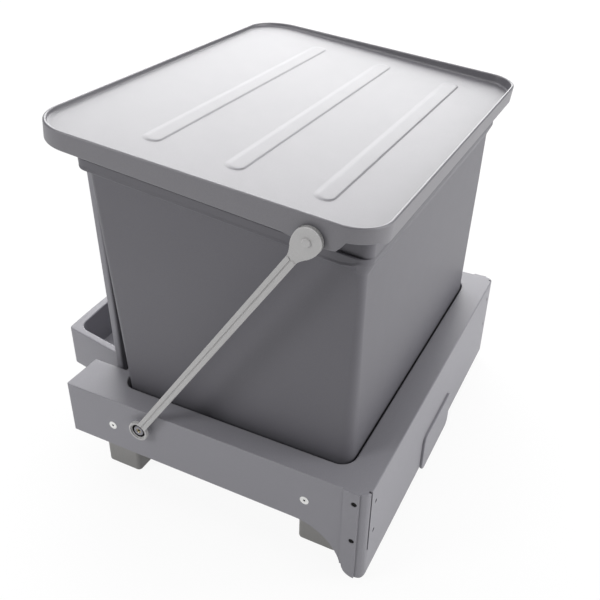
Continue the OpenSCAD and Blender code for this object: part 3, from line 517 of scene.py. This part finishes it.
def in_arm(side, along, across, out):
    """A point of an arm: along it from the pivot, across it, and outwards from its inner face."""
    place = PIVOT + ARM_UP * along + ARM_ACROSS * across
    return Vector((side * (ARM_IN + out), place.y, place.z))


def inset_ring(points, inset):
    """A closed outline moved inwards by an inset."""
    moved = []
    for i, (x, y) in enumerate(points):
        (ax, ay), (bx, by) = points[i - 1], points[(i + 1) % len(points)]
        dx, dy = bx - ax, by - ay
        size = math.hypot(dx, dy)
        moved.append((x - dy / size * inset, y + dx / size * inset))
    return moved


def raised(bm, side, points, low, high, r):
    """A flat raised form on the arm: an anticlockwise outline carried out from low to high, softly edged."""
    edge = [(inset, high + up) for inset, up in arc(r, -r, r, 157.5, 90.0, 4)]
    rings = []
    for inset, out in [(0.0, low), (0.0, high - r)] + edge:
        rings.append([in_arm(side, along, across, out) for along, across in inset_ring(points, inset)])
    loft(bm, rings)


def mirrored_outline(stations):
    """An outline that runs out on one side of the arm's middle line and back on the other."""
    return [(a, -w) for a, w in stations] + [(a, w) for a, w in reversed(stations)]


def paddle_half(ahead):
    """Half the paddle's width, at a distance from the pin towards the pivot."""
    if ahead < 0.0:
        return math.sqrt(max(PADDLE_R ** 2 - ahead ** 2, 0.0))
    return BAR_HALF + (PADDLE_R - BAR_HALF) * (1.0 - ease((ahead / NECK) ** NECK_CURVE))


def paddle_stations(start, steps=18):
    """Stations (along, half width) up the paddle from a distance ahead of the pin to its round end."""
    stations = []
    for step in range(steps):
        ahead = start * (1.0 - step / steps)
        stations.append((ARM_LEN - ahead, paddle_half(ahead)))
    for step in range(steps):
        angle = math.radians(89.0 * step / (steps - 1))
        stations.append((ARM_LEN + PADDLE_R * math.sin(angle), PADDLE_R * math.cos(angle)))
    return stations


def revolved(bm, side, profile, turns=40):
    """A turned form about the pivot's axis, from a profile of (radius, out) that ends on a flat."""
    verts = [bm.verts.new(in_arm(side, r, 0.0, out)) for r, out in profile]
    edges = [bm.edges.new(pair) for pair in zip(verts, verts[1:])]
    bmesh.ops.spin(bm, geom=verts + edges, cent=PIVOT, axis=(1.0, 0.0, 0.0), angle=math.tau, steps=turns,
                   use_merge=True)
    bmesh.ops.edgeloop_fill(bm, edges=[edge for edge in bm.edges if edge.is_boundary])


def eye_profile():
    """Half section of the eye as (radius, out): its foot, its rim, the cup in it and the well below."""
    foot = [(CUP_R - 0.5, 0.0), (EYE_R - 0.3, 0.0), (EYE_R, 0.3)]
    rim = [(EYE_R, 1.1), (EYE_R - 0.2, 0.8), (EYE_R - 0.6, 0.6), (CUP_R + 0.5, 0.6)]
    cup = [(CUP_R + 0.1, 0.75), (CUP_R, 1.1), (CUP_R, 1.7), (WELL_R + 0.3, 1.8), (WELL_R, 2.0)]
    well = [(WELL_R, 0.6), (WELL_R - 0.4, 0.4)]
    return foot + [(r, ARM_T - sunk) for r, sunk in rim + cup] + well


def build_arm(side, name, node):
    """An arm: a web that widens to the paddle, a bar along each edge of it, and an eye round the pivot."""
    bm = bmesh.new()
    web = [(EYE_R - 1.0, BAR_HALF - 0.2), (EYE_R + 2.0, BAR_HALF - 0.2)] + paddle_stations(NECK + 2.0)
    raised(bm, side, mirrored_outline(web), 0.0, ARM_T - WEB_SUNK, WEB_EDGE_R)
    paddle = paddle_stations(PADDLE_R * PADDLE_SHARE)
    raised(bm, side, mirrored_outline(paddle), 0.5, ARM_T, PADDLE_EDGE_R)
    strip = (BAR_HALF - HOLLOW_HALF) / 2
    low, high = EYE_R - 1.2, ARM_LEN - NECK + 1.0
    for middle in (-BAR_HALF + strip, BAR_HALF - strip):
        bar = [(low, middle - strip), (high - BAR_CUT, middle - strip), (high, middle - strip + BAR_CUT),
               (high, middle + strip - BAR_CUT), (high - BAR_CUT, middle + strip), (low, middle + strip)]
        raised(bm, side, bar, 0.6, ARM_T - BAR_SUNK, BAR_EDGE_R)
    revolved(bm, side, eye_profile())
    return new_piece(name, bm, "lid_arms", [node])


def build_pivots():
    """The screws at the bottom of the eyes' wells, each in a black cup of painted shade that lines the well
    wall and lies under the screw like a washer.
    """
    head = ((SCREW_R, 0.4), (SCREW_R - 0.3, 0.1), (1.6, 0.0), (1.4, 0.2), (1.3, 1.0))
    screw = [(SCREW_R, 0.5)] + [(r, SCREW_OUT - sunk) for r, sunk in head]
    # Profile of the black cup: up the well wall and in under the screw head, painting the well's shade
    shade_cup = [(WELL_R - 0.1, 0.7), (WELL_R - 0.1, ARM_T - 2.1), (WELL_R - 0.3, ARM_T - 2.0),
              (WELL_R - 0.5, ARM_T - 2.2), (WELL_R - 0.6, SCREW_OUT - 1.0),
              (3.6, SCREW_OUT - 0.9), (3.3, SCREW_OUT - 1.1)]
    screws, shade_cups = bmesh.new(), bmesh.new()
    for side in (-1.0, 1.0):
        revolved(screws, side, screw, turns=24)
        revolved(shade_cups, side, shade_cup, turns=32)
    new_piece("pivot_screws", screws, "carriage", ["arm_pivot_screws"])
    new_piece("pivot_well_shade", shade_cups, "carriage", [])


def peg_radius(x, back, z, edge):
    """The lid pins are rounded where they show outside the arms."""
    return PEG_R if x > ARM_OUT else PEG_ROOT_R


def build_arms():
    """Both arms, their pivot screws, the lid pins and the black plugs that paint the shade in holes."""
    build_arm(-1.0, "left_arm_moulding", "left_lid_arm")
    build_arm(1.0, "right_arm_moulding", "right_lid_arm")
    build_pivots()
    softened("lid_pin_pegs", "lid_pins", "lid", peg_radius)
    build_shade_plugs()


def shade_plug(bm, centre, axis, r):
    """A shallow plug of painted shade that faces along an axis and narrows behind its face."""
    turn = axis.to_track_quat("Z", "Y").to_matrix().to_4x4()
    bmesh.ops.create_cone(bm, cap_ends=True, segments=20, radius1=0.8 * r, radius2=r, depth=PLUG_DEPTH,
                          matrix=Matrix.Translation(centre - axis * PLUG_DEPTH / 2) @ turn)


def slit_shade_block(bm, side):
    """A black block set in the slit of the front face: painted shade for the slit's bottom."""
    low, high = FRAME_TOP - SLIT_LEN + 0.3, FRAME_TOP - 1.0
    size = Vector((SLIT_W - 0.1, SLIT_DEPTH - SLIT_SHADE_BACK, high - low))
    centre = Vector((side * SLIT_X, FRONT_Y + (SLIT_DEPTH + SLIT_SHADE_BACK) / 2, (high + low) / 2))
    place = Matrix.Translation(centre) @ Matrix.Diagonal(size).to_4x4()
    made = bmesh.ops.create_cube(bm, size=1.0, matrix=place)
    edges = {edge for vert in made["verts"] for edge in vert.link_edges}
    bmesh.ops.bevel(bm, geom=list(edges), offset=0.2, affect="EDGES", segments=2, profile=0.5, material=-1)


def build_shade_plugs():
    """Black plugs that paint the shade in the drives of the screw heads, in the side and front holes, and in
    the slits.
    """
    bm = bmesh.new()
    forward = Vector((0.0, -1.0, 0.0))
    for side in (-1.0, 1.0):
        outward = Vector((side, 0.0, 0.0))
        for back in (SCREW_FRONT, SCREW_BACK):
            shade_plug(bm, Vector((side * (FRAME_HALF - 0.1), FRONT_Y + back, SCREW_Z)), outward, DRIVE_R)
        for z in SIDE_HOLES:
            x = side * (FRAME_HALF + PAD_T - 0.7)
            shade_plug(bm, Vector((x, FRONT_Y + SIDE_HOLE_BACK, z)), outward, SIDE_HOLE_R)
        for z in FRONT_HOLES:
            shade_plug(bm, Vector((side * FRONT_HOLE_X, FRONT_Y + 0.8, z)), forward, FRONT_HOLE_R)
        slit_shade_block(bm, side)
    new_piece("painted_shade_plugs", bm, "carriage", [])


def build_bar(name, node):
    """A bar on the cabinet floor: soft vertical corners, a rounded foot and an open underside."""
    box = [vert.co / MM for vert in frame["nodes"][node].data.vertices]
    half, high = max(v.x for v in box), max(v.z for v in box)
    y0, y1 = min(v.y for v in box), max(v.y for v in box)
    top = arc(BASE_TOP_R, 0.0, BASE_TOP_R, 180.0, 90.0, 3)
    section = [(BASE_WALL, high - BASE_WALL), (BASE_WALL, 1.0)]
    section += [(BASE_WALL - 0.4, 0.2), (BASE_WALL - 0.8, 0.0)]
    section += arc(BASE_FOOT_R, BASE_FOOT_R, BASE_FOOT_R, 270.0, 180.0, 4)
    section += [(inset, high - BASE_TOP_R + up) for inset, up in top]
    rings = []
    for inset, z in section:
        r = max(BASE_CORNER_R - inset, 1.0)
        points = outline(half - inset, y0 + inset, y1 - inset, r, r, turns=6)
        rings.append([Vector((x, y, z)) for x, y in points])
    bm = bmesh.new()
    loft(bm, rings)
    new_piece(name, bm, "base", [node])


def build_bars():
    """The two bars on the cabinet floor."""
    build_bar("front_bar_moulding", "front_base_bar")
    build_bar("rear_bar_moulding", "rear_base_bar")


# Materials: the surface patterns are sized in cells per metre

FLOW_CELLS, GLOSS_CELLS, STREAK_CELLS, CLOUD_CELLS = 9.0, 60.0, 700.0, 90.0


def node_graph(name):
    """A new material with its nodes, its links and its Principled shader."""
    material = bpy.data.materials.new(name)
    material.use_nodes = True
    nodes, links = material.node_tree.nodes, material.node_tree.links
    return material, nodes, links, nodes["Principled BSDF"]


def noise(nodes, links, scale, detail=3.0, rough=0.5):
    """A noise texture on object coordinates; scale is in cells per metre."""
    coords = nodes.new("ShaderNodeTexCoord")
    texture = nodes.new("ShaderNodeTexNoise")
    links.new(coords.outputs["Object"], texture.inputs["Vector"])
    texture.inputs["Scale"].default_value = scale
    texture.inputs["Detail"].default_value = detail
    texture.inputs["Roughness"].default_value = rough
    return texture


def ramp(nodes, links, source, stops):
    """A colour ramp over source, with stops as (place, value or colour)."""
    node = nodes.new("ShaderNodeValToRGB")
    links.new(source, node.inputs["Fac"])
    elements = node.color_ramp.elements
    while len(elements) < len(stops):
        elements.new(0.5)
    for element, (place, value) in zip(elements, stops):
        element.position = place
        colour = value if isinstance(value, tuple) else (value, value, value)
        element.color = (*colour, 1.0)
    return node


def moulded(name, colour, rough=0.48, grain=0.35, grain_depth=0.05, mottle=0.015, specular=0.4):
    """Grey moulded plastic: fine spark-eroded grain, soft flow marks and a little uneven gloss."""
    material, nodes, links, shader = node_graph(name)
    low = tuple(c * (1 - mottle) for c in colour)
    high = tuple(min(1.0, c * (1 + mottle)) for c in colour)
    flow = noise(nodes, links, FLOW_CELLS, 4.0, 0.55)
    base = ramp(nodes, links, flow.outputs["Fac"], [(0.3, low), (0.7, high)])
    speck = noise(nodes, links, 1000.0 / grain, 2.0, 0.6)
    speck_ramp = ramp(nodes, links, speck.outputs["Fac"], [(0.35, 0.9), (0.65, 1.06)])
    mix = nodes.new("ShaderNodeMix")
    mix.data_type = "RGBA"
    mix.blend_type = "MULTIPLY"
    mix.inputs["Factor"].default_value = 1.0
    links.new(base.outputs["Color"], mix.inputs["A"])
    links.new(speck_ramp.outputs["Color"], mix.inputs["B"])
    links.new(mix.outputs["Result"], shader.inputs["Base Color"])
    gloss = noise(nodes, links, GLOSS_CELLS, 3.0, 0.6)
    gloss_ramp = ramp(nodes, links, gloss.outputs["Fac"], [(0.3, rough - 0.006), (0.7, rough + 0.008)])
    links.new(gloss_ramp.outputs["Color"], shader.inputs["Roughness"])
    bump = nodes.new("ShaderNodeBump")
    bump.inputs["Strength"].default_value = 0.35
    bump.inputs["Distance"].default_value = grain_depth * MM
    links.new(speck.outputs["Fac"], bump.inputs["Height"])
    links.new(bump.outputs["Normal"], shader.inputs["Normal"])
    shader.inputs["Specular IOR Level"].default_value = specular
    return material


def metal(name, colour, rough, streak=(1.0, 1.0, 1.0), spots=0.08):
    """Plated steel: drawn streaks along one axis and a cloudy zinc bloom."""
    material, nodes, links, shader = node_graph(name)
    coords = nodes.new("ShaderNodeTexCoord")
    stretch = nodes.new("ShaderNodeMapping")
    stretch.inputs["Scale"].default_value = streak
    links.new(coords.outputs["Object"], stretch.inputs["Vector"])
    grain = nodes.new("ShaderNodeTexNoise")
    grain.inputs["Scale"].default_value = STREAK_CELLS
    grain.inputs["Detail"].default_value = 3.0
    links.new(stretch.outputs["Vector"], grain.inputs["Vector"])
    cloud = noise(nodes, links, CLOUD_CELLS, 4.0, 0.65)
    low = tuple(c * (1 - spots) for c in colour)
    base = ramp(nodes, links, cloud.outputs["Fac"], [(0.35, low), (0.65, colour)])
    links.new(base.outputs["Color"], shader.inputs["Base Color"])
    gloss = ramp(nodes, links, grain.outputs["Fac"], [(0.3, rough - 0.08), (0.7, rough + 0.1)])
    links.new(gloss.outputs["Color"], shader.inputs["Roughness"])
    bump = nodes.new("ShaderNodeBump")
    bump.inputs["Strength"].default_value = 0.2
    bump.inputs["Distance"].default_value = 0.02 * MM
    links.new(grain.outputs["Fac"], bump.inputs["Height"])
    links.new(bump.outputs["Normal"], shader.inputs["Normal"])
    shader.inputs["Metallic"].default_value = 1.0
    return material


def coat(target, material):
    """Gives an object one material."""
    target.data.materials.clear()
    target.data.materials.append(material)


FRAME_GREY = moulded("frame_grey_plastic", (0.25, 0.246, 0.27))
BIN_GREY = moulded("bin_grey_plastic", (0.13, 0.127, 0.143), rough=0.5)
LID_GREY = moulded("lid_grey_plastic", (0.15, 0.146, 0.162), rough=0.45, specular=0.85)
ARM_GREY = moulded("arm_grey_plastic", (0.47, 0.465, 0.465), rough=0.5)
FOOT_GREY = moulded("foot_grey_plastic", (0.245, 0.24, 0.235), rough=0.5)
STEEL = metal("slide_zinc_steel", (0.62, 0.63, 0.65), 0.34, streak=(1.0, 0.03, 1.0))
ZINC = metal("screw_zinc", (0.8, 0.8, 0.79), 0.28)
CAGE = metal("cage_steel", (0.5, 0.51, 0.53), 0.3)
BRASS = metal("screw_brass", (0.62, 0.55, 0.36), 0.3)
# Black for the plugs, block and cups that paint shade into the holes, slits and pivot wells
SHADE_BLACK = moulded("painted_shade_black", (0.008, 0.008, 0.008), rough=0.6, specular=0.12)

FINISH = {
    "carriage_frame": FRAME_GREY, "front_badge": FRAME_GREY, "rear_panel": FRAME_GREY, "waste_bin": BIN_GREY,
    "lid": LID_GREY, "left_lid_arm": ARM_GREY, "right_lid_arm": ARM_GREY, "lid_pins": ARM_GREY,
    "front_base_bar": FOOT_GREY, "rear_base_bar": FOOT_GREY, "slide_screws": ZINC, "arm_pivot_screws": ZINC,
    "bracket_screws": ZINC, "rail_rivets": ZINC,
}
for node_name, node_object in frame["nodes"].items():
    coat(node_object, FINISH.get(node_name, CAGE if "cage" in node_name else STEEL))

build_lid()
build_bin()
build_carriage()
build_arms()
build_bars()
PIECE_FINISH = {
    "frame_shell": FRAME_GREY, "badge_plate": FRAME_GREY, "panel_sheet": FRAME_GREY, "bin_shell": BIN_GREY,
    "lid_shell": LID_GREY, "left_arm_moulding": ARM_GREY, "right_arm_moulding": ARM_GREY,
    "lid_pin_pegs": ARM_GREY,
    "front_bar_moulding": FOOT_GREY, "rear_bar_moulding": FOOT_GREY, "pivot_screws": BRASS,
    "pivot_well_shade": SHADE_BLACK, "painted_shade_plugs": SHADE_BLACK,
}
for piece_name, finish in PIECE_FINISH.items():
    coat(bpy.data.objects[piece_name], finish)


# Floor, light, camera: metres, watts and degrees

FLOOR_HALF, FLOOR_DROP = 6.0, 0.0005
GLOW_GAIN, GLOW_BASE = 0.44, 0.48
WORLD_LIGHT = 0.2
LIGHT_AIM = Vector((0.0, 0.0, 0.15))
LIGHTS = [
    ("top_softbox", (0.1, 0.3, 1.9), 1.6, 18.0),
    ("front_softbox", (0.3, -1.8, 0.9), 1.2, 25.5),
    ("back_softbox", (2.3, 1.1, 1.15), 2.6, 116.0),
    ("side_key", (-1.35, 0.9, 1.05), 0.6, 10.5),
]
SENSOR_WIDTH, LENS = 36.0, 45.97
SHIFT_X, SHIFT_Y = 0.003, -0.0196
CAMERA_PLACE = (-0.55356, FRONT_Y * MM - 0.12495, 0.525)
CAMERA_TURN = (58.098, -0.841, -63.255)


def white_floor():
    """A wide white floor that glows by a fixed share, and more where the camera sees it."""
    mesh = bpy.data.meshes.new("studio_floor")
    bm = bmesh.new()
    bmesh.ops.create_grid(bm, x_segments=1, y_segments=1, size=FLOOR_HALF)
    bm.to_mesh(mesh)
    bm.free()
    ground = bpy.data.objects.new("studio_floor", mesh)
    bpy.context.collection.objects.link(ground)
    ground.location.z = -FLOOR_DROP
    material, nodes, links, shader = node_graph("studio_white")
    shader.inputs["Base Color"].default_value = (0.85, 0.85, 0.85, 1.0)
    shader.inputs["Roughness"].default_value = 0.9
    shader.inputs["Specular IOR Level"].default_value = 0.1
    glow = nodes.new("ShaderNodeEmission")
    glow.inputs["Strength"].default_value = 1.0
    share = nodes.new("ShaderNodeMath")
    share.operation = "MULTIPLY_ADD"
    share.inputs[1].default_value = GLOW_GAIN
    share.inputs[2].default_value = GLOW_BASE
    pick = nodes.new("ShaderNodeMixShader")
    path = nodes.new("ShaderNodeLightPath")
    links.new(path.outputs["Is Camera Ray"], share.inputs[0])
    links.new(share.outputs["Value"], pick.inputs["Fac"])
    links.new(shader.outputs["BSDF"], pick.inputs[1])
    links.new(glow.outputs["Emission"], pick.inputs[2])
    links.new(pick.outputs["Shader"], nodes["Material Output"].inputs["Surface"])
    mesh.materials.append(material)


def white_world():
    """A world that lights the scene dimly and looks pure white to the camera."""
    world = bpy.data.worlds.new("studio")
    bpy.context.scene.world = world
    world.use_nodes = True
    nodes, links = world.node_tree.nodes, world.node_tree.links
    light = nodes["Background"]
    light.inputs["Color"].default_value = (1.0, 1.0, 1.0, 1.0)
    light.inputs["Strength"].default_value = WORLD_LIGHT
    white = nodes.new("ShaderNodeBackground")
    white.inputs["Color"].default_value = (1.0, 1.0, 1.0, 1.0)
    white.inputs["Strength"].default_value = 1.0
    path = nodes.new("ShaderNodeLightPath")
    pick = nodes.new("ShaderNodeMixShader")
    links.new(path.outputs["Is Camera Ray"], pick.inputs["Fac"])
    links.new(light.outputs["Background"], pick.inputs[1])
    links.new(white.outputs["Background"], pick.inputs[2])
    links.new(pick.outputs["Shader"], nodes["World Output"].inputs["Surface"])


def area_lights():
    """Square area lights, all aimed at the middle of the part."""
    for name, place, size, watts in LIGHTS:
        data = bpy.data.lights.new(name, "AREA")
        data.shape = "SQUARE"
        data.size = size
        data.energy = watts
        lamp = bpy.data.objects.new(name, data)
        bpy.context.collection.objects.link(lamp)
        lamp.location = place
        aim = LIGHT_AIM - Vector(place)
        lamp.rotation_euler = aim.to_track_quat("-Z", "Y").to_euler()


def photo_camera():
    """The camera stands where the photograph was taken from, solved from its perspective lines."""
    data = bpy.data.cameras.new("photo_camera")
    data.sensor_width = SENSOR_WIDTH
    data.lens = LENS
    data.shift_x = SHIFT_X
    data.shift_y = SHIFT_Y
    data.clip_start = 0.01
    camera = bpy.data.objects.new("photo_camera", data)
    bpy.context.collection.objects.link(camera)
    camera.location = CAMERA_PLACE
    camera.rotation_euler = [math.radians(turn) for turn in CAMERA_TURN]
    bpy.context.scene.camera = camera


white_floor()
white_world()
area_lights()
photo_camera()
bpy.context.scene.view_settings.view_transform = "Standard"
